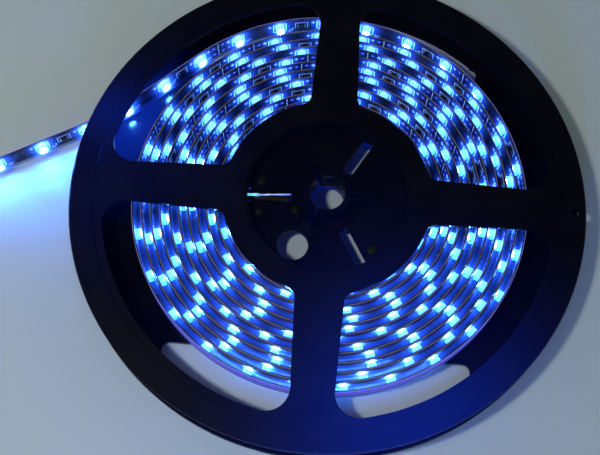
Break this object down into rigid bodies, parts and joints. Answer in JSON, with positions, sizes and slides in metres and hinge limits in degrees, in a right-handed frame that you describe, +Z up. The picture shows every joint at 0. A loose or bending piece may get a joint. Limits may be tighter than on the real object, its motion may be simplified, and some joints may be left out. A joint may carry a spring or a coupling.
{
  "type": "led strip light on a reel",
  "caption": "Flexible silicone-coated strip of ultraviolet-blue surface-mount lights wound on a flat plastic reel, its cut end led out to one side.",
  "frame": {"origin": "on the reel's axis, at the lower end of the arbor tube's foot, in the plane of the lower rim", "axes": "+Z up along the arbor bore; +X along a spoke and the tie hole, with the strip's free end led out towards -X"},
  "size_m": [0.2162, 0.18, 0.0142],
  "materials": {
    "reel_black": "moulded, half gloss",
    "circuit_black": "black solder resist",
    "tape_white": "foam tape",
    "liner_tan": "waxed paper",
    "silicone_clear": "clear, glossy",
    "led_white": "moulded",
    "led_window": "clear resin, lit",
    "tinned": "tinned and soldered",
    "resistor_black": "glazed"
  },
  "bodies": {
    "root": {"upper_flange": "reel_black", "lower_flange": "reel_black", "hub_core": "reel_black", "flex_circuit": "circuit_black", "adhesive_tape": "tape_white", "release_liner": "liner_tan", "silicone_coat": "silicone_clear", "led_resin_windows": "led_window", "led_terminals": "tinned", "resistor_bodies": "resistor_black", "resistor_end_caps": "tinned", "leds_free_end": "led_white", "leds_turn_01": "led_white", "leds_turn_02": "led_white", "leds_turn_03": "led_white", "leds_turn_04": "led_white", "leds_turn_05": "led_white", "leds_turn_06": "led_white", "leds_turn_07": "led_white", "leds_turn_08": "led_white", "leds_turn_09": "led_white", "leds_turn_10": "led_white", "leds_turn_11": "led_white", "leds_turn_12": "led_white"}
  },
  "joints": []
}
